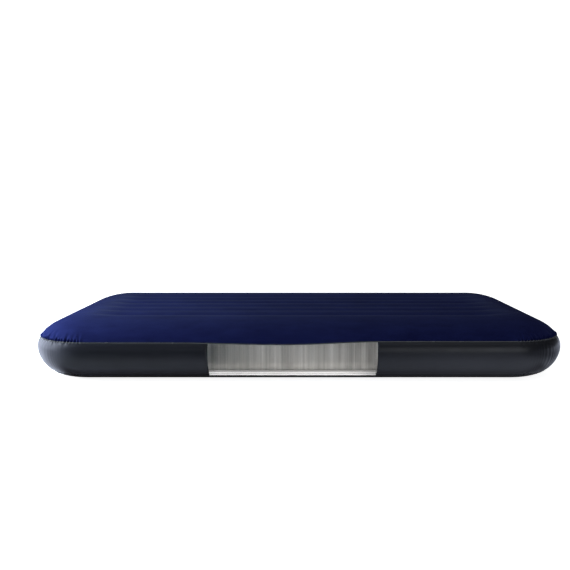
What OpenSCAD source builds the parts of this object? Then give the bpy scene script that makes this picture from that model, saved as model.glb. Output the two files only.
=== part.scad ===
// Inflatable air mattress of flocked vinyl, tied inside by walls of upright fibres.
// Origin: middle of the underside. +X runs from the foot end to the head end,
// +Y from the near long side to the far one, +Z up. Units are millimetres.

/* [Mattress] */
// Overall length when inflated
bed_length = 1910; // [1700:10:2030]
// Overall width when inflated
bed_width = 990; // [900:10:1520]
// Overall height when inflated
bed_height = 220; // [200:5:250]
// Plan radius of the four corners, at the widest height
corner_r = 207; // [207:1:240]
// Thickness of every vinyl sheet
sheet_t = 1; // [0.8:0.1:1.4]

/* [Edge profile] */
// Height at which the side wall is widest
waist_z = 110; // [90:1:120]
// Height of the seam between the top panel and the side wall
seam_z = 146; // [130:1:160]
// How far the wall turns in under the waist
under_in = 120; // [90:1:140]
// How far the top panel rolls in over the waist
roll_in = 205; // [200:1:206]

/* [Fibre walls] */
// Number of lengthwise fibre walls
wall_count = 7; // [5:1:9]
// Distance from the long side to the outermost fibre wall
wall_inset = 190; // [180:1:200]
// Distance from the short end to the ends of the fibre walls
wall_end_inset = 190; // [180:1:240]
// How far the top panel stands up between two fibre walls
ridge_rise = 9; // [4:1:12]
// Thickness of one fibre wall
fibre_t = 12; // [6:1:16]

/* [Clear window] */
// Foot-side edge of the window in the near side wall
window_left = -313; // [-500:1:-100]
// Head-side edge of the window
window_right = 270; // [100:1:500]

/* [Valve] */
// Distance of the valve from the middle of the foot end
valve_y = 150; // [-200:1:200]
// Height of the valve's axis
valve_z = 104; // [98:1:110]
// Radius of the hole that the pump nozzle goes into
nozzle_r = 9.5; // [8:0.1:9.5]
// Radius inside the neck, which the plug closes
neck_r = 20; // [20:0.1:21]

/* [Hidden] */
$fn = 96;

// --- derived sizes of the mattress
groove_half = 12;                // half width of the flat that is welded to a strip
roll_h = bed_height - waist_z;
top_seam_a = asin((seam_z - waist_z) / roll_h);
bottom_seam_a = -57;
wall_steps = 11;                 // wall_step stays under profile_step, so that a lap and its wall have the same facets
wall_step = (top_seam_a - bottom_seam_a) / wall_steps;
lap_a = wall_step;               // how far a sheet runs on behind its neighbour, in degrees
lap_depth = sheet_t + 0.05;      // depth at which that lap lies, just inside the wall sheet
bead_a = 3;                      // doubled sheet just past the seam line
profile_step = 7.1;
rim_in = wall_inset - groove_half - 1; // inset of the rim where the roll meets the ridged field
rim_a = acos(1 - rim_in / roll_in);
rim_z = waist_z + roll_h * sin(rim_a);
groove_z = bed_height - ridge_rise;
field_in = rim_in + sheet_t;
wall_span = bed_width - 2 * wall_inset;
wall_pitch = wall_span / (wall_count - 1);
ridge_steps = 9;                 // odd, so that each ridge has a flat crest
wall_length = bed_length - 2 * wall_end_inset;

// --- weld strips: a flat foot with a web that grips the fibres
bottom_strip_w = 84;
outer_strip_reach = 66;          // the two outermost bottom strips are wider on the side facing out
top_strip_w = 2 * groove_half;
web_t = fibre_t + 2;
web_h = 5;
strip_bottom_z = sheet_t;
strip_top_z = groove_z - sheet_t;
fibre_low = strip_bottom_z + sheet_t + web_h;
fibre_high = strip_top_z - sheet_t - web_h;

// --- valve, in its own frame: +Z points out of the wall, +X points up
neck_out_r = neck_r + 3;
neck_in_z = -24;
seat_z = 4;
seat_gap = 0.2;
flange_r = 31;
flange_t = 1.4;
disc_r = 25.5;
disc_top = 7;
skirt_r = neck_r - 0.5;
skirt_t = 2.1;
skirt_low = -14;
tube_r = nozzle_r + 2;
tube_low = -16;
collar_r = nozzle_r + 3;
collar_top = 14;
seal_z = -8;
seal_r = 0.8;
flap_hinge = [13.3, -17.6];
lug_y = 5.5;
pin_r = 1;
pin_clear = 0.08;
cap_hinge = [18, 10];
cap_r = 15;
cap_low = 9;
cap_top = 17.5;
gasket_t = 1.4;
tether_r = 28.8;
tether_w = 3;
tether_t = 1.6;
tether_start = 35;
tether_end = 96;

function wall_y(i) = -wall_span / 2 + i * wall_pitch;

// Inset and height of the edge profile at angle a, moved inwards by depth along its normal.
// a is -90 under the mattress, 0 at the waist and 90 on top.
function edge(a, depth) =
    let (
        ax = a < 0 ? under_in : roll_in,
        az = a < 0 ? waist_z : roll_h,
        nx = cos(a) / ax,
        nz = sin(a) / az,
        n = norm([nx, nz])
    )
    [ax * (1 - cos(a)) + depth * nx / n, waist_z + az * sin(a) - depth * nz / n];

// Points of the profile from angle a0 to a1, at one depth
function edge_run(a0, a1, depth) =
    let (steps = max(1, ceil(abs(a1 - a0) / profile_step)))
    [for (i = [0:steps]) edge(a0 + (a1 - a0) * i / steps, depth)];

// Sweeps a profile of [inset, height] points along one straight side
module side_sweep(profile, across, along)
    rotate([90, 0, 90])
        linear_extrude(height = along, center = true)
            polygon([for (p = profile) [p[0] - across / 2, p[1]]]);

// Sweeps the same profile round the whole rounded rectangle
module ring_sweep(profile) {
    straight_x = bed_length - 2 * corner_r;
    straight_y = bed_width - 2 * corner_r;
    for (half = [0, 180])
        rotate([0, 0, half]) {
            side_sweep(profile, bed_width, straight_x);
            rotate([0, 0, 90]) side_sweep(profile, bed_length, straight_y);
            translate([straight_x / 2, straight_y / 2, 0])
                rotate_extrude(angle = 90)
                    polygon([for (p = profile) [corner_r - p[0], p[1]]]);
            translate([-straight_x / 2, straight_y / 2, 0])
                rotate([0, 0, 90])
                    rotate_extrude(angle = 90)
                        polygon([for (p = profile) [corner_r - p[0], p[1]]]);
        }
}

// Flat plate with the mattress's rounded outline, set in by inset
module rounded_plate(inset, low, high) {
    r = corner_r - inset;
    x = bed_length / 2 - inset;
    y = bed_width / 2 - inset;
    translate([0, 0, low])
        linear_extrude(height = high - low)
            union() {
                square([2 * (x - r), 2 * y], center = true);
                square([2 * x, 2 * (y - r)], center = true);
                for (sx = [-1, 1], sy = [-1, 1])
                    translate([sx * (x - r), sy * (y - r)]) circle(r);
            }
}

// Height of the ridged field over a point y
function field_z(y) =
    let (
        i = min(wall_count - 2, max(0, floor((y + wall_span / 2) / wall_pitch))),
        u = (y - wall_y(i) - groove_half) / (wall_pitch - 2 * groove_half)
    )
    groove_z + ridge_rise * sin(180 * min(1, max(0, u))) / cos(90 / ridge_steps);

// Where the field's profile has its points: both edges, and each ridge in equal steps
field_ys = concat(
    [-bed_width / 2 + field_in],
    [for (i = [0:wall_count - 2], k = [0:ridge_steps])
        wall_y(i) + groove_half + (wall_pitch - 2 * groove_half) * k / ridge_steps],
    [bed_width / 2 - field_in]);

// Flocked top: ridged field, rolled edge, and a lap that runs down inside the side wall
module top_panel() color([0.11, 0.13, 0.36]) {
    ring_sweep(concat(
        edge_run(top_seam_a, rim_a, 0),
        [[field_in, rim_z], [field_in, strip_top_z], [rim_in, strip_top_z]],
        edge_run(rim_a, top_seam_a + bead_a, sheet_t),
        edge_run(top_seam_a + bead_a, top_seam_a, lap_depth + sheet_t),
        edge_run(top_seam_a, top_seam_a - lap_a, lap_depth + sheet_t),
        edge_run(top_seam_a - lap_a, top_seam_a, lap_depth),
        [edge(top_seam_a, sheet_t)]));
    intersection() {
        rotate([90, 0, 90])
            linear_extrude(height = bed_length - 2 * field_in, center = true)
                polygon(concat(
                    [for (y = field_ys) [y, field_z(y)]],
                    [for (i = [len(field_ys) - 1:-1:0])
                        [field_ys[i], field_z(field_ys[i]) - sheet_t]]));
        rounded_plate(field_in, strip_top_z - 5, bed_height + 5);
    }
}

// Flat bottom, with an upturned edge and a lap inside the side wall
module bottom_panel() color([0.10, 0.10, 0.12]) {
    ring_sweep(concat(
        edge_run(-90, bottom_seam_a, 0),
        [edge(bottom_seam_a, sheet_t)],
        edge_run(bottom_seam_a, bottom_seam_a + lap_a, lap_depth),
        edge_run(bottom_seam_a + lap_a, bottom_seam_a, lap_depth + sheet_t),
        edge_run(bottom_seam_a, bottom_seam_a - bead_a, lap_depth + sheet_t),
        edge_run(bottom_seam_a - bead_a, -90, sheet_t)));
    rounded_plate(under_in, 0, sheet_t);
}

// Outer sheet of the side wall, all the way round
module wall_band()
    ring_sweep(concat(
        edge_run(bottom_seam_a, top_seam_a, 0),
        edge_run(top_seam_a, bottom_seam_a, sheet_t)));

module window_block()
    translate([window_left, -bed_width, -bed_height])
        cube([window_right - window_left, bed_width, 3 * bed_height]);

module side_wall() color([0.17, 0.18, 0.22])
    difference() {
        wall_band();
        window_block();
        at_valve() translate([0, 0, -30]) cylinder(r = neck_out_r, h = 60);
    }

module side_window() color([0.8, 0.85, 0.9, 0.3])
    intersection() {
        side_sweep(concat(
            edge_run(bottom_seam_a, top_seam_a, 0),
            edge_run(top_seam_a, bottom_seam_a, sheet_t)),
            bed_width, bed_length - 2 * corner_r);
        window_block();
    }

// One curtain of upright fibres, from the bottom strip's web to the top strip's
module fibre_wall(i) color([0.72, 0.72, 0.71])
    translate([-wall_length / 2, wall_y(i) - fibre_t / 2, fibre_low])
        cube([wall_length, fibre_t, fibre_high - fibre_low]);

// Weld strip: foot against the panel, from low to high across, and web towards the fibres. up is 1 or -1.
module strip(i, z, up, low, high)
    translate([0, wall_y(i), z])
        scale_z(up)
            translate([-wall_length / 2, 0, 0]) {
                translate([0, low, 0]) cube([wall_length, high - low, sheet_t]);
                translate([0, -web_t / 2, 0]) cube([wall_length, web_t, sheet_t + web_h]);
            }

module scale_z(up) mirror([0, 0, up > 0 ? 0 : 1]) children();

module bottom_strip(i) color([0.93, 0.93, 0.92])
    strip(i, strip_bottom_z, 1, i == 0 ? -outer_strip_reach : -bottom_strip_w / 2,
        i == wall_count - 1 ? outer_strip_reach : bottom_strip_w / 2);
module top_strip(i) color([0.93, 0.93, 0.92])
    strip(i, strip_top_z, -1, -top_strip_w / 2, top_strip_w / 2);

// Places the valve's own frame on the foot end of the wall
module at_valve()
    translate([-bed_length / 2, valve_y, valve_z]) rotate([0, -90, 0]) children();

// Ring solid from [radius, height] points, round the valve's axis
module turned(points) rotate_extrude() polygon(points);

// Block of the given y width between two corners of the valve's xz plane
module slab(x0, x1, z0, z1, width)
    translate([x0, -width / 2, z0]) cube([x1 - x0, width, z1 - z0]);

// Finger tab with a round end, pointing down (-X) from the middle of a cap
module tab(inner, reach, width, low, high) {
    slab(-reach, -inner, low, high, width);
    translate([-reach, 0, low]) cylinder(r = width / 2, h = high - low);
}

// Layer of the given thickness lying on the outside of the foot end of the wall
module on_wall(thickness)
    rotate([0, 90, 0])
        translate([bed_length / 2, 0, -valve_z])
            rotate([0, 0, 270])
                side_sweep(concat(
                    edge_run(bottom_seam_a + 3 * wall_step, top_seam_a, -thickness),
                    edge_run(top_seam_a, bottom_seam_a + 3 * wall_step, -0.05)),
                    bed_length, 4 * flange_r);

// Neck through the wall, raised seat, and a flange that lies on the curved wall
module valve_base() color([0.30, 0.31, 0.34]) at_valve() {
    turned([[neck_r, neck_in_z], [neck_out_r, neck_in_z],
            [neck_out_r, seat_z], [neck_r, seat_z]]);
    intersection() {
        difference() {
            translate([0, 0, -20]) cylinder(r = flange_r, h = 40);
            translate([0, 0, -30]) cylinder(r = neck_r + 1, h = 60);
        }
        on_wall(flange_t);
    }
    intersection() {
        difference() {
            translate([0, 0, -20]) cylinder(r = disc_r, h = 20 + seat_z);
            translate([0, 0, -30]) cylinder(r = neck_r + 1, h = 60);
        }
        on_wall(seat_z + 16);
    }
    rotate([0, 0, tether_start])
        translate([tether_r, 0, -2]) cylinder(r = 1.6, h = seat_z + seat_gap + 2);
}

// Large stopper for letting the air out, with the pump nozzle's tube through it
module valve_plug() color([0.36, 0.37, 0.40]) at_valve() {
    difference() {
        union() {
            turned([[nozzle_r, tube_low], [tube_r, tube_low], [tube_r, 4.5],
                    [skirt_r - skirt_t, 4.5], [skirt_r - skirt_t, skirt_low],
                    [skirt_r, skirt_low],
                    [skirt_r, seal_z - 1.4], [skirt_r - 1.2, seal_z - 1.4],
                    [skirt_r - 1.2, seal_z + 1.4], [skirt_r, seal_z + 1.4],
                    [skirt_r, seat_z + seat_gap], [disc_r, seat_z + seat_gap],
                    [disc_r, disc_top], [collar_r, disc_top],
                    [collar_r, collar_top], [nozzle_r, collar_top]]);
            difference() {
                tab(disc_r - 2, disc_r + 5, 14, seat_z + seat_gap, 6.4);
                cylinder(r = disc_r - 1, h = 20);
            }
            for (side = [-1, 1])
                translate([0, side * lug_y, 0]) {
                    slab(tube_r - 1.9, 15.5, tube_low + 0.2, -13, 2);
                    slab(tube_r, 15.5, -20, tube_low + 0.2, 2);
                }
            rotate([0, 0, tether_end])
                translate([disc_r - 1, 0.2, seat_z + seat_gap])
                    cube([tether_r + tether_w / 2 - disc_r + 1, 4, tether_t]);
        }
        translate([flap_hinge[0], 0, flap_hinge[1]])
            rotate([90, 0, 0]) cylinder(r = pin_r, h = 20, center = true);
    }
}

// O-ring in the plug's groove
module plug_seal() color([0.09, 0.09, 0.10]) at_valve()
    rotate_extrude() translate([skirt_r - 1.2 + seal_r + 0.02, seal_z]) circle(seal_r);

// Soft tether that lies round the plug and keeps it on the valve
module plug_tether() color([0.36, 0.37, 0.40]) at_valve()
    rotate([0, 0, tether_start])
        rotate_extrude(angle = tether_end - tether_start)
            translate([tether_r - tether_w / 2, seat_z + seat_gap])
                square([tether_w, tether_t]);

module flap_pin() color([0.75, 0.76, 0.78]) at_valve()
    translate([flap_hinge[0], 0, flap_hinge[1]])
        rotate([90, 0, 0]) cylinder(r = pin_r, h = 13, center = true);

// Non-return flap that shuts the inner end of the nozzle tube
module check_flap() color([0.82, 0.83, 0.84]) at_valve()
    difference() {
        union() {
            translate([0, 0, tube_low - 1.4]) cylinder(r = tube_r - 0.3, h = 1.2);
            slab(9, flap_hinge[0], tube_low - 1.4, tube_low - 0.2, 8);
            translate([flap_hinge[0], 0, flap_hinge[1]])
                rotate([90, 0, 0]) cylinder(r = 1.9, h = 8, center = true);
        }
        translate([flap_hinge[0], 0, flap_hinge[1]])
            rotate([90, 0, 0]) cylinder(r = pin_r + pin_clear, h = 20, center = true);
    }

// Ring round the nozzle collar, with a tongue up to the cap's fold line
module cap_strap() color([0.36, 0.37, 0.40]) at_valve()
    difference() {
        union() {
            translate([0, 0, disc_top]) cylinder(r = cap_r, h = 1.2);
            slab(13, 20.3, disc_top, disc_top + 1.2, 8);
            slab(19.1, 20.3, disc_top, cap_hinge[1] - 1, 8);
        }
        cylinder(r = collar_r + 0.1, h = 30);
    }

// Snap cap over the nozzle collar, with its finger tab and its side of the fold
module inflation_cap() color([0.36, 0.37, 0.40]) at_valve() {
    inner = collar_r + 0.4;
    shelf = collar_top + 0.1 + gasket_t;
    turned([[0, shelf], [inner, shelf], [inner, cap_low], [cap_r, cap_low],
            [cap_r, cap_top - 1], [cap_r - 1, cap_top], [0, cap_top]]);
    difference() {
        tab(cap_r - 1, cap_r + 5, 9, 9.4, 11.4);
        cylinder(r = cap_r - 0.5, h = 40);
    }
    slab(cap_r - 0.5, cap_hinge[0], cap_hinge[1] - 0.8, cap_hinge[1] + 0.8, 8);
    translate([cap_hinge[0], 0, cap_hinge[1]])
        rotate([90, 0, 0]) cylinder(r = 0.8, h = 8, center = true);
}

// Soft disc in the cap that seals on the collar's end
module cap_gasket() color([0.09, 0.09, 0.10]) at_valve()
    translate([0, 0, collar_top + 0.1]) cylinder(r = collar_r, h = gasket_t);

top_panel();
side_wall();
side_window();
bottom_panel();
for (i = [1:wall_count]) {
    fibre_wall(i - 1);
    top_strip(i - 1);
    bottom_strip(i - 1);
}
valve_base();
valve_plug();
plug_seal();
plug_tether();
flap_pin();
check_flap();
cap_strap();
inflation_cap();
cap_gasket();
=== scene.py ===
"""Looks of the inflated air mattress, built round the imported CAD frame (metres, +Z up)."""
import math

import bpy
import numpy as np
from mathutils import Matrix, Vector


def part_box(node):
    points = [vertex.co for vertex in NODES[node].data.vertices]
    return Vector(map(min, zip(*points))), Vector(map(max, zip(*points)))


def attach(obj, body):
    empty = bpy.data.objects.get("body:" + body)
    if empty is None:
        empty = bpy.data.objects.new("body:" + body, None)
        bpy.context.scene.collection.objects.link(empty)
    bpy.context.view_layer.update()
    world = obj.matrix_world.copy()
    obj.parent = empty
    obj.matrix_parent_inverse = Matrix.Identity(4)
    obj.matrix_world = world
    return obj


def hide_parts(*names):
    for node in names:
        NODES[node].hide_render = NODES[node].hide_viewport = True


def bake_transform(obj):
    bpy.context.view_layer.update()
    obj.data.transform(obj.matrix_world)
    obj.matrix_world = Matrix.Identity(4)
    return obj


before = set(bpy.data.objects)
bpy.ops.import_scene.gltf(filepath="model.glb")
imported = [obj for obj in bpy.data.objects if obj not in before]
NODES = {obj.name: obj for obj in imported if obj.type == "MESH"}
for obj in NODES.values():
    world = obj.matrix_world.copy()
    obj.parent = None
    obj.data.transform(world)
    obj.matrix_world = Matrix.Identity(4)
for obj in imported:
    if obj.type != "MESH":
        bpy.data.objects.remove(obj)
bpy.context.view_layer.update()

MM = 0.001

# ---------------------------------------------------------------- sizes, from the CAD nodes
wall_lo, wall_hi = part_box("side_wall")
HALF_X, HALF_Y = wall_hi.x, wall_hi.y
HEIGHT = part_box("top_panel")[1].z
CORNER_R = 207 * MM         # corners, in plan
WAIST_Z = 110 * MM          # height at which the wall stands furthest out
UNDER_IN = 120 * MM         # how far the wall curves in from the waist down to the floor
ROLL_IN = CORNER_R          # and from the waist up to the top
SEAM_Z = wall_hi.z
SHEET = 1.0 * MM
SEAM_A = math.asin((SEAM_Z - WAIST_Z) / (HEIGHT - WAIST_Z))
BOTTOM_Z = wall_lo.z
BOTTOM_A = -math.asin((WAIST_Z - BOTTOM_Z) / WAIST_Z)
win_lo, win_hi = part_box("side_window")
WALL_COUNT = 7
WALL_YS = [sum(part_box(f"fibre_wall_{i}")[k].y for k in (0, 1)) / 2 for i in range(1, WALL_COUNT + 1)]
fib_lo, fib_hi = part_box("fibre_wall_1")
PITCH = WALL_YS[1] - WALL_YS[0]
RIDGE = 9 * MM              # how far the fibre walls draw the top down
seal_lo, seal_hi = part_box("plug_seal")
VALVE_X, VALVE_Y, VALVE_Z = -HALF_X, (seal_lo.y + seal_hi.y) / 2, (seal_lo.z + seal_hi.z) / 2
NECK_HOLE_R = 23.4 * MM     # hole in the wall for the valve's neck
FLANGE_CLEAR = 33 * MM      # the wall is left smooth this far round the valve
FLANGE_FADE = 14 * MM


# ---------------------------------------------------------------- node helpers
def new_material(name):
    m = bpy.data.materials.new(name)
    m.use_nodes = True
    nt = m.node_tree
    nt.nodes.clear()
    out = nt.nodes.new("ShaderNodeOutputMaterial")
    shader = nt.nodes.new("ShaderNodeBsdfPrincipled")
    nt.links.new(shader.outputs[0], out.inputs["Surface"])
    return m, nt, shader


def node(nt, kind, inputs=None, **props):
    n = nt.nodes.new(kind)
    for k, v in props.items():
        setattr(n, k, v)
    for k, v in (inputs or {}).items():
        if isinstance(v, bpy.types.NodeSocket):
            nt.links.new(v, n.inputs[k])
        else:
            n.inputs[k].default_value = v
    return n


def place(nt, scale=(1, 1, 1)):
    """Object coordinates, in metres of the shared frame, stretched by scale."""
    tc = node(nt, "ShaderNodeTexCoord")
    return node(nt, "ShaderNodeMapping", {"Vector": tc.outputs["Object"], "Scale": scale}).outputs[0]


def noise(nt, vector, scale, detail=3.0, rough=0.5):
    return node(nt, "ShaderNodeTexNoise",
                {"Vector": vector, "Scale": scale, "Detail": detail, "Roughness": rough}).outputs["Fac"]


def ramp(nt, fac, stops):
    r = node(nt, "ShaderNodeValToRGB", {"Fac": fac})
    e = r.color_ramp.elements
    while len(e) < len(stops):
        e.new(0.5)
    for el, (p, c) in zip(e, stops):
        el.position = p
        el.color = (*c, 1)
    return r.outputs["Color"]


def span(nt, fac, lo, hi, a=0.0, b=1.0):
    return node(nt, "ShaderNodeMapRange",
                {"Value": fac, "From Min": lo, "From Max": hi, "To Min": a, "To Max": b}).outputs[0]


def bump(nt, height, distance, strength=1.0, normal=None):
    ins = {"Height": height, "Distance": distance, "Strength": strength}
    if normal is not None:
        ins["Normal"] = normal
    return node(nt, "ShaderNodeBump", ins).outputs[0]


# ---------------------------------------------------------------- materials
FLOCK_DARK = (0.0056, 0.0072, 0.044)
FLOCK_LIGHT = (0.0088, 0.0117, 0.063)


def flock_material():
    """Short upright nap: matt, faintly lighter where it was brushed, soft sheen."""
    m, nt, sh = new_material("flocked_top")
    v = place(nt)
    cloud = noise(nt, v, 5.0, 4.0, 0.55)
    brushed = noise(nt, place(nt, (0.5, 1.6, 1.0)), 22.0, 3.0, 0.6)
    fine = noise(nt, v, 900.0, 2.0, 0.6)
    mix = node(nt, "ShaderNodeMath", {0: cloud, 1: brushed}, operation="ADD").outputs[0]
    col = ramp(nt, span(nt, mix, 0.72, 1.28), [(0.0, FLOCK_DARK), (1.0, FLOCK_LIGHT)])
    speck = ramp(nt, fine, [(0.3, (0.72, 0.72, 0.74)), (0.7, (1.18, 1.18, 1.16))])
    col2 = node(nt, "ShaderNodeMix", {0: 1.0, 6: col, 7: speck}, data_type="RGBA", blend_type="MULTIPLY")
    nt.links.new(col2.outputs[2], sh.inputs["Base Color"])
    sh.inputs["Roughness"].default_value = 0.92
    sh.inputs["Specular IOR Level"].default_value = 0.02
    sh.inputs["Sheen Weight"].default_value = 0.03
    sh.inputs["Sheen Roughness"].default_value = 0.5
    sh.inputs["Sheen Tint"].default_value = (0.62, 0.68, 1.0, 1)
    b = bump(nt, fine, 0.35 * MM, 0.8)
    nt.links.new(bump(nt, brushed, 0.8 * MM, 0.5, b), sh.inputs["Normal"])
    return m


def vinyl_material(name, dark, light, rough=(0.34, 0.46), spec=0.5):
    """Calendered sheet: satin gloss with faint handling marks and a fine grain."""
    m, nt, sh = new_material(name)
    v = place(nt)
    cloud = noise(nt, v, 6.0, 3.0, 0.5)
    nt.links.new(ramp(nt, cloud, [(0.3, dark), (0.7, light)]), sh.inputs["Base Color"])
    nt.links.new(span(nt, noise(nt, v, 14.0, 4.0, 0.6), 0.3, 0.7, *rough), sh.inputs["Roughness"])
    sh.inputs["Specular IOR Level"].default_value = spec
    grain = noise(nt, v, 650.0, 2.0, 0.5)
    b = bump(nt, grain, 0.08 * MM, 0.6)
    nt.links.new(bump(nt, noise(nt, v, 9.0, 2.0, 0.5), 3.0 * MM, 0.35, b), sh.inputs["Normal"])
    return m


# ---------------------------------------------------------------- shell geometry
STEP_X, STEP_Y, ARC_N = 180, 144, 190   # columns along a long side, a short side and a corner
FINE_N = 4000                           # samples along the profile, from which lengths are measured
PHASE = 6.28                            # range of a random phase


def outline():
    """Anchor and outward normal, in plan, of every column round the mattress."""
    cx, cy = HALF_X - CORNER_R, HALF_Y - CORNER_R
    xs, ys = np.linspace(-cx, cx, STEP_X + 1), np.linspace(-cy, cy, STEP_Y + 1)
    anchor, normal, inner = [], [], []
    sides = [
        ([(x, -HALF_Y) for x in xs], (0, -1), [(i, 0) for i in range(STEP_X + 1)], (cx, -cy), -90),
        ([(HALF_X, y) for y in ys], (1, 0), [(STEP_X, j) for j in range(STEP_Y + 1)], (cx, cy), 0),
        ([(x, HALF_Y) for x in xs[::-1]], (0, 1),
         [(i, STEP_Y) for i in range(STEP_X, -1, -1)], (-cx, cy), 90),
        ([(-HALF_X, y) for y in ys[::-1]], (-1, 0),
         [(0, j) for j in range(STEP_Y, -1, -1)], (-cx, -cy), 180),
    ]
    for pts, n, ids, c, start in sides:
        for p, k in zip(pts, ids):
            anchor.append(p)
            normal.append(n)
            inner.append(k)
        for k in range(1, ARC_N):
            a = math.radians(start + 90 * k / ARC_N)
            n2 = (math.cos(a), math.sin(a))
            anchor.append((c[0] + CORNER_R * n2[0], c[1] + CORNER_R * n2[1]))
            normal.append(n2)
            inner.append(ids[-1])
    return np.array(anchor), np.array(normal), inner, xs, ys


ANCHOR, NORMAL, INNER, XS, YS = outline()
COLS = len(ANCHOR)
gaps = np.linalg.norm(np.roll(ANCHOR, -1, 0) - ANCHOR, axis=1)
ALONG = np.concatenate([[0], np.cumsum(gaps)[:-1]])
CORNER_W = np.abs(NORMAL[:, 0] * NORMAL[:, 1]) * 2      # 1 in the middle of a corner, 0 on a side


def smooth(t):
    t = np.clip(t, 0, 1)
    return t * t * (3 - 2 * t)


# the upper weld hangs a little low over the clear section and runs a little high towards the head end;
# the drop is given as a change of profile angle
SEAM_SAG = (0.055 * (NORMAL[:, 1] < -0.5) * np.exp(-(((ANCHOR[:, 0] + 0.07) / 0.20) ** 2))
            - 0.042 * smooth((ANCHOR[:, 0] - 0.02) / 0.25) * smooth((0.25 - ANCHOR[:, 1]) / 0.5))


def profile(angles):
    """Inset, height and outward normal (plan part, z part) of the edge profile."""
    a = np.asarray(angles)
    ax, az = np.where(a < 0, UNDER_IN, ROLL_IN), np.where(a < 0, WAIST_Z, HEIGHT - WAIST_Z)
    inset, z = ax * (1 - np.cos(a)), WAIST_Z + az * np.sin(a)
    nx, nz = np.cos(a) / ax, np.sin(a) / az
    n = np.hypot(nx, nz)
    return inset, z, nx / n, nz / n


def profile_lengths(a0, a1):
    """Closely spaced profile angles from a0 to a1, and the length of the profile up to each."""
    fine = np.linspace(a0, a1, FINE_N)
    i, z, _, _ = profile(fine)
    return fine, np.concatenate([[0], np.cumsum(np.hypot(np.diff(i), np.diff(z)))])


def graded_angles(a0, a1, fine_first, fine_last, step):
    """Profile angles from a0 to a1, in short steps next to a weld and in steps of step elsewhere."""
    fine, s = profile_lengths(a0, a1)
    room = np.full(len(s), 1.0)         # distance to the nearest weld
    if fine_first:
        room = np.minimum(room, s)
    if fine_last:
        room = np.minimum(room, s[-1] - s)
    count = np.concatenate([[0], np.cumsum(np.diff(s) / np.minimum(step, 1.5 * MM + 0.09 * room)[1:])])
    n = int(math.ceil(count[-1]))
    at = np.interp(np.linspace(0, count[-1], n + 1), count, s)
    return np.interp(at, s, fine), at


def ring(angles, lift):
    """Points (row, column, 3) of the profile swept round the outline, raised by lift."""
    near_seam = np.exp(-(((angles - SEAM_A) / 0.25) ** 2))
    i, z, nx, nz = profile(angles[:, None] - near_seam[:, None] * SEAM_SAG[None])
    at = ANCHOR[None] - i[..., None] * NORMAL[None]
    from_valve = np.where(at[..., 0] < -HALF_X / 2, np.hypot(at[..., 1] - VALVE_Y, z - VALVE_Z), 1.0)
    lift = lift * smooth((from_valve - FLANGE_CLEAR) / FLANGE_FADE)
    r = -i + lift * nx
    xy = ANCHOR[None] + r[..., None] * NORMAL[None]
    zz = np.broadcast_to(z + lift * nz, r.shape)
    return np.concatenate([xy, zz[..., None]], 2)


TAPE_HALF = 8 * MM                      # flat stretch over a top tape
CHANNEL_END, CHANNEL_FADE = 130 * MM, 150 * MM


def channels(x, y):
    """How far the top is pulled down by the fibre walls at (x, y)."""
    y0, half = abs(WALL_YS[0]), 0.5 * PITCH
    d = np.abs((y - WALL_YS[0] + half) % PITCH - half)
    d = np.where(np.abs(y) > y0, np.abs(y) - y0, d)
    u = np.clip((d - TAPE_HALF) / (half - TAPE_HALF), 0, 1)
    dip = 1 - np.sin(np.pi / 2 * u) ** 0.8
    fade = 1 - smooth((np.abs(x) - (fib_hi.x - CHANNEL_END)) / CHANNEL_FADE)
    return -RIDGE * dip * fade


def mesh_object(name, verts, faces, material):
    me = bpy.data.meshes.new(name)
    me.from_pydata([tuple(v) for v in verts], [], faces)
    me.validate()
    me.update()
    me.shade_smooth()
    o = bpy.data.objects.new(name, me)
    bpy.context.scene.collection.objects.link(o)
    o.data.materials.append(material)
    return o


def solidify(o):
    m = o.modifiers.new("sheet", "SOLIDIFY")
    m.thickness, m.offset = SHEET, -1.0
    return o


def ring_faces(rows, cols, closed=True):
    out = []
    for r in range(rows - 1):
        for c in range(cols if closed else cols - 1):
            d = (c + 1) % cols
            out.append((r * cols + c, r * cols + d, (r + 1) * cols + d, (r + 1) * cols + c))
    return out


def tube_faces(steps, n, closed=True):
    """Faces of a tube whose section of n points is repeated steps times; closed joins its ends."""
    out = []
    for k in range(steps if closed else steps - 1):
        d = (k + 1) % steps
        for i in range(n):
            j = (i + 1) % n
            out.append((k * n + i, k * n + j, d * n + j, d * n + i))
    return out


def crease(t, depth, reach):
    """Both sheets are drawn in where they are welded: t is the distance from the weld."""
    return -depth * np.exp(-np.abs(t) / reach)


def seam_lift(t):
    """Lift round the upper weld; just below it the lapped sheet stands proud as a narrow band."""
    band = 0.7 * MM * smooth((t + 7.5 * MM) / (1.5 * MM)) * (t < 0)
    drawn = crease(t, depth=4.0 * MM, reach=15 * MM)
    return (drawn + band)[:, None] + fold_lift(t, SEAM_FOLDS)


def mound(t, at, half, tall):
    """Smooth rise, or groove where tall is negative, that runs along the weld at distance at."""
    return tall * np.exp(-(((t - at) / half) ** 2))


def low_lift(t):
    """Lift round the lower weld: a groove where the lapped edge of the wall begins, and the lap itself."""
    groove = mound(t, at=13 * MM, half=4.5 * MM, tall=-1.8 * MM)
    lap = mound(t, at=4.5 * MM, half=4.0 * MM, tall=0.5 * MM)
    drawn = crease(t, depth=1.2 * MM, reach=4 * MM)
    return (drawn + groove + lap)[:, None] + fold_lift(t, LOW_FOLDS)


CORNER_MID = [float(ALONG[k]) for k in range(COLS) if CORNER_W[k] > 0.9999]
FOLD_RUN = 0.19                         # folds lie this far to either side of a corner's middle
FOLD_FULL, FOLD_FADE = 0.10, 0.09       # full depth up to here, and then the distance to nothing


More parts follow.
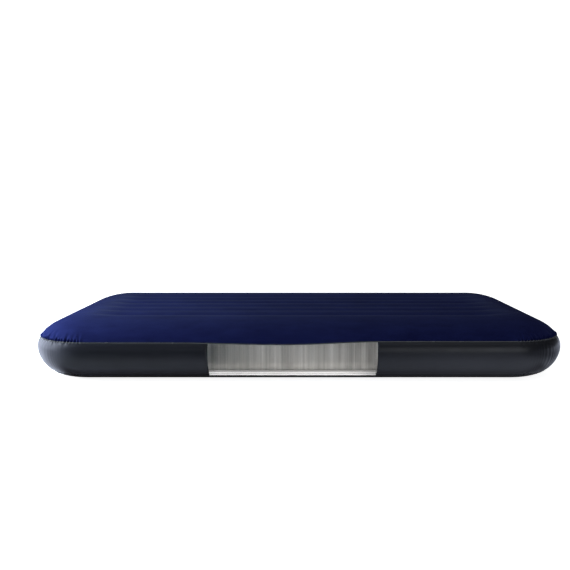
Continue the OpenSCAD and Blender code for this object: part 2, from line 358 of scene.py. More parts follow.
def make_folds(seed, gap, width, depth, up, down, long_every):
    """Folds gathered along a weld round the four corners, where the flat sheets have length to spare.

    The pairs are ranges in mm; each fold reaches up and down from the weld, and every long_every-th
    one is longer and wider.
    """
    r = np.random.default_rng(seed)
    folds = []
    for centre in CORNER_MID:
        at, k = centre - FOLD_RUN, 0
        while at < centre + FOLD_RUN:
            near = 1 - smooth((abs(at - centre) - FOLD_FULL) / FOLD_FADE)
            longer, wider = (1.7, 1.25) if k % long_every == 0 else (1.0, 1)
            folds.append((at, r.uniform(*width) * MM * wider, r.uniform(*depth) * MM * near,
                          r.uniform(*up) * MM * longer, r.uniform(*down) * MM * longer,
                          r.uniform(-0.3, 0.3)))
            at += r.uniform(*gap) * MM
            k += 1
    return folds


def fold_lift(t, folds):
    """Each fold is a sharp valley across the weld between two soft ridges, spreading as it runs out."""
    total = ALONG[-1] + gaps[-1]
    lift = np.zeros((len(t), COLS))
    away = np.abs(t)[:, None]
    for at, width, depth, up, down, lean in folds:
        reach = np.where(t > 0, up, down)[:, None]
        d = np.abs((ALONG[None] - at - lean * t[:, None] + total / 2) % total - total / 2)
        w = width * (1 + 0.8 * away / reach)
        cut = np.exp(-((d / w) ** 1.4)) - 0.55 * np.exp(-(((d - 1.9 * w) / (1.1 * w)) ** 2))
        side = np.where(t < 0, 0.45, 1.0)[:, None] if folds is SEAM_FOLDS else 1.0
        lift -= depth * side * cut * np.exp(-((away / reach) ** 1.3))
    return lift


SEAM_FOLDS = make_folds(7, gap=(10, 15), width=(2.1, 3.0), depth=(5.0, 8.5),
                        up=(7, 12), down=(3.5, 6), long_every=4)
LOW_FOLDS = make_folds(8, gap=(9, 17), width=(2.2, 3.6), depth=(1.2, 2.8),
                       up=(7, 16), down=(4, 7), long_every=3)

top_angles, t_top = graded_angles(SEAM_A, math.pi / 2, True, False, 5.0 * MM)
top_ring = ring(top_angles, seam_lift(t_top))
top_ring[..., 2] += channels(top_ring[..., 0], top_ring[..., 1])


def build_top():
    rows = len(top_angles) - 1
    verts = [tuple(p) for row in top_ring[:rows] for p in row]
    grid0 = len(verts)                  # the field inside the roll is a plain grid
    for j in range(STEP_Y + 1):
        for i in range(STEP_X + 1):
            verts.append((XS[i], YS[j], HEIGHT + float(channels(XS[i], YS[j]))))

    def g(i, j):
        return grid0 + j * (STEP_X + 1) + i

    faces = ring_faces(rows, COLS)
    for c in range(COLS):
        d = (c + 1) % COLS
        a, b, e, f = (rows - 1) * COLS + c, (rows - 1) * COLS + d, g(*INNER[d]), g(*INNER[c])
        faces.append((a, b, e) if e == f else (a, b, e, f))
    for j in range(STEP_Y):
        for i in range(STEP_X):
            faces.append((g(i, j), g(i + 1, j), g(i + 1, j + 1), g(i, j + 1)))
    return verts, faces


verts, faces = build_top()
flock = flock_material()
top = solidify(mesh_object("flocked_top", verts, faces, flock))
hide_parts("top_panel")
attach(top, "mattress")

# ---------------------------------------------------------------- side wall and clear section
WAVE = 15 * MM                          # spacing of the faint ripples
WAVE_REACH = 0.105                      # they die out this far from a corner's middle
wall_angles, t_wall = graded_angles(BOTTOM_A, SEAM_A, True, True, 5.0 * MM)


def ripples(t):
    """Faint upright waves in the wall where it turns the corners, strongest at the head end."""
    r = np.random.default_rng(21)
    total, lift = ALONG[-1] + gaps[-1], np.zeros((len(t), COLS))
    rise = np.sin(np.pi * t / t[-1])[:, None] ** 0.6
    for centre in CORNER_MID:
        tall = (0.55 if NORMAL[np.argmin(np.abs(ALONG - centre))][0] > 0 else 0.30) * MM
        d = (ALONG - centre + total / 2) % total - total / 2
        phase, drift = r.uniform(0, PHASE), r.uniform(-1, 1)
        wave = np.sin(2 * np.pi * (d / WAVE) + phase + 2.4 * np.sin(d * 61 + phase) + drift * t[:, None] * 30)
        uneven = 0.5 + 0.5 * np.sin(d * 43 + 3 * phase + t[:, None] * 38) * np.sin(d * 17 + phase)
        lift += tall * wave * uneven * np.exp(-((d / WAVE_REACH) ** 4)) * rise
    return lift


wall_ring = ring(wall_angles, seam_lift(t_wall - t_wall[-1]) + low_lift(t_wall) + ripples(t_wall))
vinyl = vinyl_material("wall_vinyl", (0.0045, 0.0048, 0.0085), (0.0065, 0.0070, 0.0115),
                       rough=(0.30, 0.42), spec=0.42)
bottom_vinyl = vinyl_material("bottom_vinyl", (0.006, 0.0056, 0.0056), (0.009, 0.0083, 0.0083),
                              rough=(0.55, 0.7), spec=0.2)


def section(points, first, last):
    """Columns first..last of a ring (it may wrap round), as vertices and faces."""
    cols = [k % COLS for k in range(first, last + 1)]
    sub = points[:, cols]
    return [tuple(p) for row in sub for p in row], ring_faces(len(points), len(cols), False)


def split_at(points, x):
    """Moves the near side's nearest column of the ring exactly to x and returns its index."""
    k = int(np.argmin(np.abs(XS - x)))
    points[:, k, 0] = x
    return k


k0, k1 = split_at(wall_ring, win_lo.x), split_at(wall_ring, win_hi.x)
verts, faces = section(wall_ring, k1, k0 + COLS)


def cut_round_hole(verts, faces, radius):
    """Opens the wall for the valve's neck: drops the faces inside, and draws the edge onto a circle."""
    p = np.array(verts)
    d = np.where(p[:, 0] < -HALF_X / 2, np.hypot(p[:, 1] - VALVE_Y, p[:, 2] - VALVE_Z), 1.0)
    keep = [f for f in faces if min(d[k] for k in f) > radius]
    dropped = {k for f in faces if min(d[k] for k in f) <= radius for k in f}
    rim = dropped & {k for f in keep for k in f}
    for k in rim:
        p[k, 1:] = np.array([VALVE_Y, VALVE_Z]) + (p[k, 1:] - (VALVE_Y, VALVE_Z)) * radius / d[k]
    used = sorted({k for f in keep for k in f})
    new = {k: i for i, k in enumerate(used)}
    return [tuple(p[k]) for k in used], [tuple(new[k] for k in f) for f in keep]


verts, faces = cut_round_hole(verts, faces, NECK_HOLE_R)
wall = solidify(mesh_object("vinyl_wall", verts, faces, vinyl))
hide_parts("side_wall")
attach(wall, "mattress")


def clear_material():
    m, nt, sh = new_material("clear_vinyl")
    sh.inputs["Base Color"].default_value = (0.30, 0.31, 0.32, 1)
    sh.inputs["Roughness"].default_value = 0.10
    glance = node(nt, "ShaderNodeLayerWeight", {"Blend": 0.32}).outputs["Facing"]
    glance = node(nt, "ShaderNodeMath", {0: glance, 1: 2.2}, operation="POWER").outputs[0]
    nt.links.new(span(nt, glance, 0.0, 1.0, 0.035, 0.75), sh.inputs["Alpha"])
    nt.links.new(bump(nt, noise(nt, place(nt), 9.0, 2.0), 2.0 * MM, 0.3), sh.inputs["Normal"])
    return m


verts, faces = section(wall_ring, k0, k1)
window = solidify(mesh_object("clear_window", verts, faces, clear_material()))
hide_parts("side_window")
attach(window, "mattress")


def weld_bead():
    """The little roll of vinyl squeezed out under the edge of the top sheet, all round the upper seam."""
    t = np.array([-4.2, -3.4, -2.2, -1.0, -0.2]) * MM
    rise = np.array([-0.5, 0.9, 1.5, 0.9, -0.5])[:, None] * MM
    fine, arc = profile_lengths(BOTTOM_A, SEAM_A)
    return ring(np.interp(arc[-1] + t, arc, fine), seam_lift(t) + rise)


bead_ring = weld_bead()
verts = [tuple(p) for row in bead_ring for p in row]
bead_last = (len(bead_ring) - 1) * COLS
bead_faces = ring_faces(len(bead_ring), COLS)
bead_faces += [(bead_last + c, bead_last + (c + 1) % COLS, (c + 1) % COLS, c) for c in range(COLS)]
# the bead is far paler than the wall: partly a milky squeezed-out weld, partly a painted highlight along the
# seam
seam_vinyl_and_highlight = vinyl_material("seam_vinyl_and_highlight", (0.042, 0.043, 0.047), (0.062, 0.063, 0.068), (0.20, 0.30))
seam_weld = mesh_object("seam_weld", verts, bead_faces, seam_vinyl_and_highlight)
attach(seam_weld, "mattress")

# ---------------------------------------------------------------- bottom sheet
low_angles, t_low = graded_angles(-math.pi / 2, BOTTOM_A, False, True, 4.0 * MM)
low_ring = ring(low_angles, low_lift(t_low - t_low[-1]) * smooth(t_low / (20 * MM))[:, None])
low_ring[..., 2] = np.maximum(low_ring[..., 2], 0)
UNDER_X, UNDER_Y = HALF_X - UNDER_IN, HALF_Y - UNDER_IN
UNDER_STEPS = 24


def build_bottom():
    """Upturned edge, then rings that shrink into the flat underside."""
    rows = len(low_angles)
    verts = [tuple(p) for row in low_ring for p in row]
    flat = low_ring[0, :, :2]
    inner = []
    for k in range(1, UNDER_STEPS):
        f = k / UNDER_STEPS
        pts = flat.copy()
        room = np.array([UNDER_X, UNDER_Y]) - f * UNDER_Y * 0.98
        pts = pts / np.array([UNDER_X, UNDER_Y]) * room
        inner.append([(x, y, weld_mark(x, y)) for x, y in pts])
    faces = ring_faces(rows, COLS)
    base = len(verts)
    for row in inner:
        verts += row
    for c in range(COLS):
        d = (c + 1) % COLS
        faces.append((d, c, base + c, base + d))
    for k in range(len(inner) - 1):
        for c in range(COLS):
            d = (c + 1) % COLS
            a, b = base + k * COLS, base + (k + 1) * COLS
            faces.append((a + d, a + c, b + c, b + d))
    last = base + (len(inner) - 1) * COLS
    faces.append(tuple(last + c for c in range(COLS - 1, -1, -1)))
    return verts, faces


def weld_mark(x, y):
    """Shallow lines pressed up into the underside where the fibre walls are welded on."""
    d = abs((y - WALL_YS[0] + PITCH / 2) % PITCH - PITCH / 2)
    inside = 1 - smooth((abs(x) - fib_hi.x + 10 * MM) / (15 * MM))
    return float(0.8 * MM * (1 - smooth((d - 9 * MM) / (5 * MM))) * inside)


verts, faces = build_bottom()
bottom = mesh_object("bottom_sheet", verts, faces, bottom_vinyl)
solidify(bottom)
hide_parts("bottom_panel")
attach(bottom, "mattress")


# ---------------------------------------------------------------- fibre walls and strips
def yarn_material():
    """White polyester yarn in bundles: broad soft bands with fine upright lines in them."""
    m, nt, sh = new_material("fibre_yarn")
    bands = noise(nt, place(nt, (20.0, 1.0, 0.15)), 1.3, 2.0, 0.5)
    lines = noise(nt, place(nt, (130.0, 1.0, 0.4)), 1.0, 2.0, 0.6)
    fine = noise(nt, place(nt, (900.0, 40.0, 3.0)), 1.0, 1.0, 0.6)
    tone = node(nt, "ShaderNodeMath", {0: bands, 1: lines}, operation="ADD").outputs[0]
    col = ramp(nt, span(nt, tone, 0.70, 1.30), [(0.0, (0.47, 0.462, 0.44)), (1.0, (0.78, 0.768, 0.74))])
    thread = ramp(nt, fine, [(0.3, (0.82, 0.82, 0.82)), (0.7, (1.0, 1.0, 1.0))])
    mixed = node(nt, "ShaderNodeMix", {0: 1.0, 6: col, 7: thread}, data_type="RGBA", blend_type="MULTIPLY")
    nt.links.new(mixed.outputs[2], sh.inputs["Base Color"])
    sh.inputs["Roughness"].default_value = 0.75
    sh.inputs["Specular IOR Level"].default_value = 0.2
    nt.links.new(bump(nt, fine, 0.3 * MM), sh.inputs["Normal"])
    return m


STRIP_MID = (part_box("bottom_strip_1")[0].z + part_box("top_strip_1")[1].z) / 2
# grey of the web: yarn ends in the coat, darkened further as painted shade along the web's foot
WEB_GREY_AND_SHADE = (0.27, 0.265, 0.257, 1)


def strip_material():
    """White coated tape with a fine weave and a slightly mottled coat."""
    m, nt, sh = new_material("weld_strip")
    v = place(nt)
    weave = noise(nt, v, 500.0, 2.0)
    blot = noise(nt, place(nt, (8.0, 40.0, 1.0)), 1.0, 3.0)
    tone = node(nt, "ShaderNodeMath", {0: weave, 1: blot}, operation="ADD").outputs[0]
    coat = ramp(nt, span(nt, tone, 0.7, 1.3), [(0.0, (0.74, 0.74, 0.73)), (1.0, (0.93, 0.93, 0.92))])
    # the upstanding web, and the foot right beside it, are grey: partly yarn ends in the coat, partly painted
    # shade where the web rises from the foot
    xyz = node(nt, "ShaderNodeSeparateXYZ", {0: v})
    up = node(nt, "ShaderNodeMath", {0: xyz.outputs["Z"], 1: STRIP_MID}, operation="SUBTRACT").outputs[0]
    up = node(nt, "ShaderNodeMath", {0: up}, operation="ABSOLUTE").outputs[0]
    foot = span(nt, up, STRIP_MID - 2.6 * MM, STRIP_MID - 2.1 * MM)
    across = node(nt, "ShaderNodeMath", {0: xyz.outputs["Y"], 1: WALL_YS[0]}, operation="SUBTRACT").outputs[0]
    across = node(nt, "ShaderNodeMath", {0: across, 1: PITCH / 2}, operation="PINGPONG").outputs[0]
    clean = span(nt, across, 7.5 * MM, 9.5 * MM)
    foot = node(nt, "ShaderNodeMath", {0: foot, 1: clean}, operation="MULTIPLY").outputs[0]
    web_shade_mix = node(nt, "ShaderNodeMix", {0: foot, 6: WEB_GREY_AND_SHADE, 7: coat}, data_type="RGBA")
    nt.links.new(web_shade_mix.outputs[2], sh.inputs["Base Color"])
    sh.inputs["Roughness"].default_value = 0.45
    nt.links.new(bump(nt, weave, 0.15 * MM), sh.inputs["Normal"])
    return m


yarn = yarn_material()
strip_mat = strip_material()
YARN_STEP = 2.6 * MM                    # one yarn to the next
FACETS = 4                              # steps across one yarn
YARN_R = 0.75 * MM
CORE = 0.7 * MM                         # half thickness of the sheet of yarns between them
PLEAT, PLEAT_TALL = 50 * MM, 3.6 * MM
CURTAIN_ROWS = 7


def curtain(index, y):
    """A dense row of upright yarns, gathered into soft pleats, as one closed corrugated wall."""
    r = np.random.default_rng(100 + index)
    x0, x1, z0, z1 = fib_lo.x, fib_hi.x, fib_lo.z, fib_hi.z
    count = int((x1 - x0) / YARN_STEP) * FACETS
    xs = np.linspace(x0, x1, count + 1)
    phase = r.uniform(0, PHASE, 3)
    wander = 0.9 * np.sin(xs * 7.3 + phase[1]) + 0.5 * np.sin(xs * 23.0 + phase[2])
    pleat = np.sin(2 * np.pi * xs / PLEAT + phase[0] + wander)
    sharp = np.sign(pleat) * np.abs(pleat) ** 0.8 * PLEAT_TALL
    thick = r.uniform(0.6, 1.5, count // FACETS + 1).repeat(FACETS)[:count + 1]
    cord = np.abs(np.sin(np.pi * np.arange(count + 1) / FACETS)) * YARN_R * thick
    zs = np.linspace(z0, z1, CURTAIN_ROWS)
    verts, faces = [], []
    for z in zs:
        mid = 1 - abs(2 * (z - z0) / (z1 - z0) - 1)
        gather = 0.45 + 0.55 * min(1.0, 1.6 * mid)
        for side in (-1, 1):
            yy = y + sharp * gather + side * (CORE + cord)
            verts += [(float(a), float(b), float(z)) for a, b in zip(xs, yy)]
    n = count + 1
    for k in range(len(zs) - 1):
        a, b = k * 2 * n, (k + 1) * 2 * n
        for i in range(count):
            faces.append((a + i, a + i + 1, b + i + 1, b + i))
            faces.append((a + n + i + 1, a + n + i, b + n + i, b + n + i + 1))
        faces.append((a, b, b + n, a + n))
        faces.append((a + count, a + n + count, b + n + count, b + count))
    top0 = (len(zs) - 1) * 2 * n
    for i in range(count):
        faces.append((i + 1, i, n + i, n + i + 1))
        faces.append((top0 + i, top0 + i + 1, top0 + n + i + 1, top0 + n + i))
    o = mesh_object(f"yarn_wall_{index}", verts, faces, yarn)
    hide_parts(f"fibre_wall_{index}")
    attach(o, "mattress")
    return o


def strip_piece(name, cad_name, index, up):
    """Weld tape: thin foot with soft edges and a raised, slightly uneven web that holds the yarns."""
    lo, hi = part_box(cad_name)
    r = np.random.default_rng(300 + index + (50 if up > 0 else 0))
    y0, tall = WALL_YS[index - 1], hi.z - lo.z
    reach = {-1: y0 - lo.y, 1: hi.y - y0}
    web = 7.0 * MM                      # half width of the web
    xs = np.linspace(lo.x, hi.x, 260)
    p = r.uniform(0, PHASE, 4)
    edge = 0.3 * MM * np.sin(xs * 31 + p[0]) + 0.2 * MM * np.sin(xs * 83 + p[1])
    wave = 0.08 * MM * np.sin(xs * 57 + p[2]) ** 2

    def half_section(side):
        """From the outer edge of the foot to the top of the web, as (across in metres, height in mm)."""
        foot = reach[side]
        return [(side * a, b) for a, b in [
            (foot, 0.05), (foot, 0.75), (foot - 1.2 * MM, 1.0), (web - 0.2 * MM, 1.0),
            (web - 0.9 * MM, 1.3), (web - 0.2 * MM, 2.2), (web, 4.6), (web - 0.8 * MM, 5.9)]]

    loop = half_section(-1) + half_section(1)[::-1]
    verts, faces = [], []
    n = len(loop)
    for x, e, w in zip(xs, edge, wave):
        for a, h in loop:
            yy = a + (e if abs(a) > web + 4 * MM else 0) * (-1 if a > 0 else 1)
            yy = max(-reach[-1], min(reach[1], yy))
            hh = min(h * MM + (w if 0.5 < h <= 1.0 else 0), tall)
            verts.append((x, y0 + yy, lo.z + hh if up > 0 else hi.z - hh))
    for k in range(len(xs) - 1):
        for a in range(n):
            b = (a + 1) % n
            q = (k * n + a, k * n + b, (k + 1) * n + b, (k + 1) * n + a)
            faces.append(q[::-1] if up > 0 else q)
    faces.append(tuple(range(n)) if up > 0 else tuple(range(n - 1, -1, -1)))
    last = (len(xs) - 1) * n
    faces.append(tuple(last + k for k in (range(n - 1, -1, -1) if up > 0 else range(n))))
    o = mesh_object(name, verts, faces, strip_mat)
    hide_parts(cad_name)
    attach(o, "mattress")
    return o


inside = []
for i, y in enumerate(WALL_YS, 1):
    inside.append(curtain(i, y))
    inside.append(strip_piece(f"floor_tape_{i}", f"bottom_strip_{i}", i, 1))
    inside.append(strip_piece(f"roof_tape_{i}", f"top_strip_{i}", i, -1))


# ---------------------------------------------------------------- valve
def moulded(name, dark, light, rough, spec=0.5, grain=0.05):
    """Moulded plastic or rubber: fine eroded grain, faint flow marks, tone that varies a little."""
    m, nt, sh = new_material(name)
    v = place(nt)
    flow = noise(nt, place(nt, (1.0, 1.0, 2.5)), 70.0, 3.0, 0.55)
    nt.links.new(ramp(nt, flow, [(0.3, dark), (0.7, light)]), sh.inputs["Base Color"])
    nt.links.new(span(nt, noise(nt, v, 240.0, 3.0, 0.6), 0.3, 0.7, *rough), sh.inputs["Roughness"])
    sh.inputs["Specular IOR Level"].default_value = spec
    b = bump(nt, noise(nt, v, 2600.0, 2.0, 0.5), grain * MM, 0.7)
    nt.links.new(bump(nt, flow, 0.12 * MM, 0.4, b), sh.inputs["Normal"])
    return m


VALVE_LOOKS = {
    "valve_base": moulded("valve_body", (0.0100, 0.0105, 0.0125), (0.0140, 0.0145, 0.0170), (0.36, 0.50)),
    "valve_plug": moulded("valve_plug", (0.0200, 0.0210, 0.0250), (0.0270, 0.0285, 0.0340), (0.32, 0.44)),
    "inflation_cap": moulded("valve_cap", (0.0220, 0.0235, 0.0280), (0.0310, 0.0325, 0.0390), (0.30, 0.42)),
    "plug_seal": moulded("seal_rubber", (0.008, 0.008, 0.009), (0.013, 0.013, 0.014), (0.55, 0.70),
                         spec=0.3, grain=0.03),
    "flap_pin": moulded("pin_plastic", (0.48, 0.49, 0.50), (0.56, 0.57, 0.58), (0.30, 0.40)),
    "check_flap": moulded("flap_plastic", (0.55, 0.56, 0.56), (0.64, 0.65, 0.65), (0.38, 0.50), 0.4),
}
SAME_LOOK = {"cap_strap": "inflation_cap", "cap_gasket": "plug_seal"}
for name in list(VALVE_LOOKS) + list(SAME_LOOK):
    o = NODES[name]
    for k in o.material_slots:
        k.material = VALVE_LOOKS[SAME_LOOK.get(name, name)]
    o.data.shade_smooth()
    weld = o.modifiers.new("weld", "WELD")
    weld.merge_threshold = 0.004 * MM
    if name not in ("plug_seal", "flap_pin"):
        soft_edge = o.modifiers.new("bevel", "BEVEL")
        soft_edge.width, soft_edge.segments = 0.22 * MM, 2
        soft_edge.limit_method, soft_edge.angle_limit = "ANGLE", math.radians(40)
    o.modifiers.new("normals", "WEIGHTED_NORMAL").keep_sharp = False


def valve_point(up, side, out):
    """World position of a point given in mm from the valve's centre: up, sideways (+Y) and outwards."""
    return (VALVE_X - out * MM, VALVE_Y + side * MM, VALVE_Z + up * MM)


def turned(name, points, look, body, ribs=0, rib=0.0, steps=144):
    """Ring of (radius, out) points in mm round the valve's axis, with ribs that stand rib mm out of it."""
    verts, n = [], len(points)
    far = max(r for r, _ in points)
    for k in range(steps):
        a = 2 * math.pi * k / steps
        swell = rib * max(0.0, math.cos(ribs * a)) ** 0.7 if ribs else 0.0
        for r, out in points:
            rr = r + (swell if r > far - 0.3 else 0.0)
            verts.append(valve_point(rr * math.cos(a), rr * math.sin(a), out))
    o = mesh_object(name, verts, tube_faces(steps, n), look)
    o.modifiers.new("normals", "WEIGHTED_NORMAL")
    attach(o, body)
    return o


def bead(r, out, half, tall):
    """Closed rounded section of a raised ring."""
    arc = [(r + half * math.cos(t), out + tall * math.sin(t)) for t in np.linspace(0, math.pi, 9)]
    return [(r + half, out - 0.3)] + arc + [(r - half, out - 0.3)]


PLUG_FACE, CAP_FACE = 7.0, 17.5         # outer faces of stopper and cap, in mm outwards
plug_look, cap_look = VALVE_LOOKS["valve_plug"], VALVE_LOOKS["inflation_cap"]
turned("plug_grip", [(24.6, 4.7), (25.6, 4.7), (25.75, 5.0), (25.75, 6.2), (25.6, 6.5), (24.6, 6.5)],
       plug_look, "plug", ribs=60, rib=0.45, steps=480)
turned("plug_face_ring", bead(21.0, PLUG_FACE, 0.7, 0.45), plug_look, "plug")
turned("plug_inner_ring", bead(17.0, PLUG_FACE, 0.5, 0.35), plug_look, "plug")
turned("cap_grip", [(14.2, 12.4), (15.1, 12.4), (15.2, 12.8), (15.2, 15.6), (15.1, 16.0), (14.2, 16.0)],
       cap_look, "cap", ribs=40, rib=0.4, steps=320)
turned("cap_face_ring", bead(11.6, CAP_FACE, 0.6, 0.4), cap_look, "cap")
turned("cap_centre_ring", bead(4.0, CAP_FACE, 0.5, 0.3), cap_look, "cap")


def wall_face(z):
    """How far the outer face of the foot end's wall lies in from the end of the mattress, at height z."""
    a = math.asin((z - WAIST_Z) / (WAIST_Z if z < WAIST_Z else HEIGHT - WAIST_Z))
    return (UNDER_IN if a < 0 else ROLL_IN) * (1 - math.cos(a))


def weld_ring(name, radius, half, tall, base):
    """Raised ring on the curved wall round the valve, base mm clear of the sheet."""
    arc = [(half * math.cos(t), base + tall * math.sin(t)) for t in np.linspace(0, math.pi, 7)]
    loop = [(half, -0.4)] + arc + [(-half, -0.4)]
    verts, steps = [], 160
    for k in range(steps):
        a = 2 * math.pi * k / steps
        for dr, out in loop:
            up, side = (radius + dr) * math.cos(a), (radius + dr) * math.sin(a)
            verts.append(valve_point(up, side, out - wall_face(VALVE_Z + up * MM) / MM))
    o = mesh_object(name, verts, tube_faces(steps, len(loop)), VALVE_LOOKS["valve_base"])
    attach(o, "mattress")
    return o


weld_ring("flange_weld", radius=31.2, half=0.8, tall=0.5, base=0.0)
weld_ring("flange_rib", radius=26.6, half=0.35, tall=0.35, base=1.4)


def strap(name, path, width_dir, width, thick, look):
    """Flat soft strap of rounded section along path; width_dir gives its width's direction at each point."""
    verts, n = [], 12
    path = [np.array(p) for p in path]
    for k, p in enumerate(path):
        t = path[min(k + 1, len(path) - 1)] - path[max(k - 1, 0)]
        t = t / np.linalg.norm(t)
        w = np.array(width_dir(k), float)
        w = w - t * np.dot(w, t)
        w = w / np.linalg.norm(w)
        u = np.cross(t, w)
        for i in range(n):
            a = 2 * math.pi * (i + 0.5) / n
            c, q = math.cos(a), math.sin(a)
            x = np.sign(c) * abs(c) ** 0.45 * width / 2
            y = np.sign(q) * abs(q) ** 0.45 * thick / 2
            verts.append(tuple(p + w * x + u * y))
    faces = tube_faces(len(path), n, closed=False)
    faces.append(tuple(range(n - 1, -1, -1)))
    last = (len(path) - 1) * n
    faces.append(tuple(range(last, last + n)))
    o = mesh_object(name, verts, faces, look)
    o.modifiers.new("normals", "WEIGHTED_NORMAL")
    return o


TETHER_R, TETHER_OUT = 28.8, 5.0
TETHER_FROM, TETHER_TO = math.radians(34), math.radians(97)


def on_tether(a):
    return valve_point(TETHER_R * math.cos(a), TETHER_R * math.sin(a), TETHER_OUT)


tether_at = np.linspace(TETHER_FROM, TETHER_TO, 40)
tether = strap("soft_tether", [on_tether(a) for a in tether_at],
               lambda k: (0, math.sin(tether_at[k]), math.cos(tether_at[k])), 3.0 * MM, 1.6 * MM,
               plug_look)
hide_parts("plug_tether")
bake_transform(tether)

fold_path = [valve_point(19.7 - 1.3 * q, 0, 8.7 + 1.25 * math.sin(q * math.pi / 2))
             for q in np.linspace(0, 1, 9)]
fold = strap("cap_fold", fold_path, lambda k: (0, 1, 0), 7.6 * MM, 0.55 * MM, cap_look)
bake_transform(fold)

# ---------------------------------------------------------------- camera
LOOK_DOWN = 6.38                        # degrees below the horizontal

cam_data = bpy.data.cameras.new("camera")
cam = bpy.data.objects.new("camera", cam_data)
bpy.context.scene.collection.objects.link(cam)
cam.location = (0, -2.935, 0.617)
cam.rotation_euler = (math.radians(90 - LOOK_DOWN), 0, 0)
cam_data.lens = 45.85
cam_data.sensor_width = 36
cam_data.shift_x = -0.02456
cam_data.clip_start, cam_data.clip_end = 0.05, 100
bpy.context.scene.camera = cam


# ---------------------------------------------------------------- studio
SKY_LOW, SKY_TOP, SKY_POWER = 0.07, 1.22, 8.0   # level at the horizon, overhead, and how it rises
COOL = (0.90, 0.95, 1.0)


def area(name, at, aim, size, power, color):
    d = bpy.data.lights.new(name, "AREA")
    d.shape, d.size, d.size_y = "RECTANGLE", size[0], size[1]
    d.energy, d.color = power, color
    o = bpy.data.objects.new(name, d)
    bpy.context.scene.collection.objects.link(o)
    o.location = at
    o.rotation_euler = (Vector(aim) - Vector(at)).to_track_quat("-Z", "Y").to_euler()
    return o


left_panel = area("left_panel", at=(-3.0, 0.10, 1.1), aim=(-0.9, 0.0, 0.12), size=(3.5, 2.3),
                  power=124, color=(0.74, 0.81, 1.0))
right_panel = area("right_panel", at=(3.4, 0.2, 1.0), aim=(0.5, 0, 0.1), size=(1.5, 1.2),
                   power=7.0, color=(1.0, 0.96, 0.90))
right_panel.visible_glossy = False
front_right = area("front_right_panel", at=(1.6, -3.6, 0.9), aim=(0.6, -0.45, 0.1), size=(2.2, 1.8),
                   power=16.0, color=COOL)
front_left = area("front_left_panel", at=(-1.5, -3.6, 1.05), aim=(-0.6, -0.45, 0.12), size=(2.0, 1.0),
                  power=2.0, color=COOL)
left_key = area("left_key", at=(-1.6, -0.50, 0.66), aim=(-0.7, -0.3, 0.2), size=(0.4, 0.4),
                power=38, color=(0.82, 1.0, 1.0))
left_key.visible_glossy = False


def only_on(light, name, objects, state="INCLUDE"):
    """A light that falls on these objects alone, or on all but these."""
    group = bpy.data.collections.new(name)
    bpy.context.scene.collection.children.link(group)
    for o in objects:
        group.objects.link(o)
    light.light_linking.receiver_collection = group
    for link in group.collection_objects:
        link.light_linking.link_state = state
    light.visible_glossy = state == "EXCLUDE"


only_on(left_panel, "not_by_left_panel", [top], "EXCLUDE")
only_on(front_left, "not_by_front_left", [top] + inside, "EXCLUDE")
only_on(front_right, "not_by_front_right", inside, "EXCLUDE")

window_light = area("window_light", at=(-2.5, -4.6, 0.66), aim=(0.0, -0.3, 0.08), size=(4.4, 1.4),
                    power=78, color=(1.0, 0.955, 0.935))
only_on(window_light, "lit_curtains", [o for o in inside if o.name.startswith("yarn")])
tape_light = area("tape_light", at=(0.2, -1.5, 0.8), aim=(0.0, -0.34, 0.0), size=(1.2, 0.3),
                  power=44, color=(1.0, 0.985, 0.975))
only_on(tape_light, "lit_tapes", [o for o in inside if not o.name.startswith("yarn")])

FLOOR_HALF = 40.0
FLOOR_INSET = 0.05                      # the reflected floor starts to brighten this far under the edge
FLOOR_GLOW = 0.89
SWEEP_AT = (-0.80, -0.36)               # the pale sweep to the left starts from here, near the corner
SWEEP_LEAN = math.radians(28)


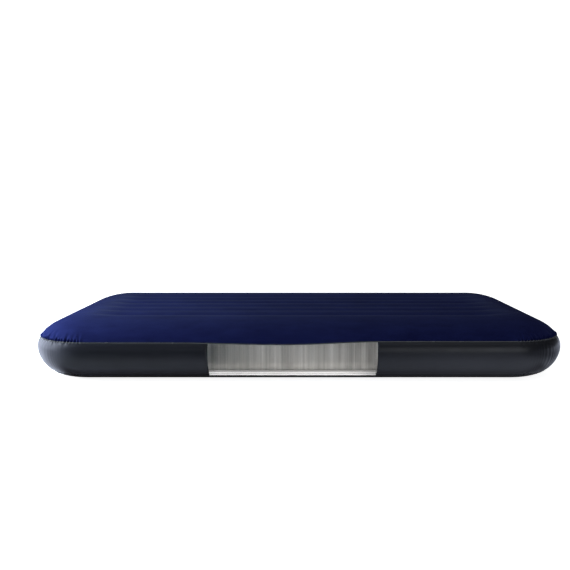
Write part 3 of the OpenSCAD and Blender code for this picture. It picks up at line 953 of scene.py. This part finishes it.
def studio_floor():
    """White floor. Glossy rays see it fade away from the mattress, as a lit sweep in a dark room would."""
    m, nt, sh = new_material("studio_floor")
    white = ramp(nt, noise(nt, place(nt), 3.0), [(0.3, (0.93, 0.93, 0.93)), (0.7, (0.95, 0.95, 0.95))])
    nt.links.new(white, sh.inputs["Base Color"])
    sh.inputs["Roughness"].default_value = 0.8
    sh.inputs["Specular IOR Level"].default_value = 0.0
    xyz = node(nt, "ShaderNodeSeparateXYZ", {0: place(nt)})
    out = []
    for axis, half in (("X", HALF_X - FLOOR_INSET), ("Y", HALF_Y - FLOOR_INSET)):
        a = node(nt, "ShaderNodeMath", {0: xyz.outputs[axis]}, operation="ABSOLUTE").outputs[0]
        b = node(nt, "ShaderNodeMath", {0: a, 1: half}, operation="SUBTRACT").outputs[0]
        out.append(node(nt, "ShaderNodeMath", {0: b, 1: 0.0}, operation="MAXIMUM").outputs[0])
    far = node(nt, "ShaderNodeMath", {0: out[0], 1: out[1]}, operation="MAXIMUM").outputs[0]
    seen = ramp(nt, far, [
        (0.0, (0.10, 0.10, 0.11)), (0.05, (0.50, 0.54, 0.63)), (0.11, (0.57, 0.615, 0.73)),
        (0.3, (0.150, 0.163, 0.215)), (0.8, (0.050, 0.054, 0.072))])
    seen_right = ramp(nt, far, [
        (0.0, (0.10, 0.10, 0.11)), (0.05, (0.75, 0.81, 0.96)), (0.11, (0.85, 0.92, 1.10)),
        (0.3, (0.50, 0.54, 0.65)), (0.8, (0.36, 0.39, 0.47))])
    right = span(nt, xyz.outputs["X"], 0.15, 0.6)
    seen = node(nt, "ShaderNodeMix", {0: right, 6: seen, 7: seen_right}, data_type="RGBA").outputs[2]
    # past the head end it is darkest where the far curve of the corner mirrors it
    past = ramp(nt, span(nt, xyz.outputs["X"], 0.0, 2.0),
                [(0.44, (1.0, 1.0, 1.0)), (0.54, (0.22, 0.22, 0.22)),
                 (0.63, (0.34, 0.34, 0.34)), (0.85, (0.9, 0.9, 0.9))])
    dim = node(nt, "ShaderNodeEmission", {"Color": seen, "Strength": past})
    # the pale sweep to the left begins at a line that runs out from the near left corner
    across = (-math.sin(SWEEP_LEAN), math.cos(SWEEP_LEAN), 0)
    line = node(nt, "ShaderNodeVectorMath", {0: place(nt), 1: across}, operation="DOT_PRODUCT")
    line = line.outputs["Value"]
    start = SWEEP_AT[0] * across[0] + SWEEP_AT[1] * across[1]
    away = node(nt, "ShaderNodeVectorMath", {0: place(nt), 1: (*SWEEP_AT, 0)}, operation="DISTANCE")
    away = away.outputs["Value"]
    line = node(nt, "ShaderNodeMath", {0: line, 1: start}, operation="SUBTRACT").outputs[0]
    line = node(nt, "ShaderNodeMath", {0: line, 1: away}, operation="DIVIDE").outputs[0]
    pale = ramp(nt, line, [(0.25, (0.43, 0.47, 0.58)), (0.65, (0.74, 0.81, 1.0)), (0.80, (0.74, 0.81, 1.0)),
                           (0.97, (0.46, 0.50, 0.62))])
    pale = node(nt, "ShaderNodeEmission", {"Color": pale, "Strength": 3.5})
    side = span(nt, line, -0.55, 0.12)
    dim = node(nt, "ShaderNodeMixShader", {0: side, 1: dim.outputs[0], 2: pale.outputs[0]})
    ray = node(nt, "ShaderNodeLightPath")
    shown = span(nt, ray.outputs["Is Camera Ray"], 0.0, 1.0, 0.0, FLOOR_GLOW)
    glow = node(nt, "ShaderNodeEmission", {"Color": (1, 1, 1, 1), "Strength": shown})
    lit_floor = node(nt, "ShaderNodeAddShader", {0: sh.outputs[0], 1: glow.outputs[0]})
    both = node(nt, "ShaderNodeMixShader",
                {0: ray.outputs["Is Glossy Ray"], 1: lit_floor.outputs[0], 2: dim.outputs[0]})
    target = next(n for n in nt.nodes if n.type == "OUTPUT_MATERIAL")
    nt.links.new(both.outputs[0], target.inputs["Surface"])
    return m


floor_corners = [(a * FLOOR_HALF, b * FLOOR_HALF, 0) for a, b in ((-1, -1), (1, -1), (1, 1), (-1, 1))]
floor = mesh_object("studio_floor", floor_corners, [(0, 1, 2, 3)], studio_floor())

world = bpy.data.worlds.new("studio")
bpy.context.scene.world = world
world.use_nodes = True
wt = world.node_tree
wt.nodes.clear()
geo = node(wt, "ShaderNodeTexCoord")
sep = node(wt, "ShaderNodeSeparateXYZ", {0: geo.outputs["Generated"]})
up = node(wt, "ShaderNodeMath", {0: sep.outputs["Z"], 1: 0.0}, operation="MAXIMUM").outputs[0]
peak = node(wt, "ShaderNodeMath", {0: up, 1: SKY_POWER}, operation="POWER").outputs[0]
level = node(wt, "ShaderNodeMath", {0: peak, 1: SKY_TOP, 2: SKY_LOW}, operation="MULTIPLY_ADD").outputs[0]
soft = node(wt, "ShaderNodeBackground", {"Color": (0.90, 0.95, 1.0, 1), "Strength": level})
white = node(wt, "ShaderNodeBackground", {"Color": (1, 1, 1, 1), "Strength": 1.1})
ray = node(wt, "ShaderNodeLightPath")
mixw = node(wt, "ShaderNodeMixShader",
            {0: ray.outputs["Is Camera Ray"], 1: soft.outputs[0], 2: white.outputs[0]})
node(wt, "ShaderNodeOutputWorld", {"Surface": mixw.outputs[0]})
bpy.context.scene.view_settings.view_transform = "Standard"
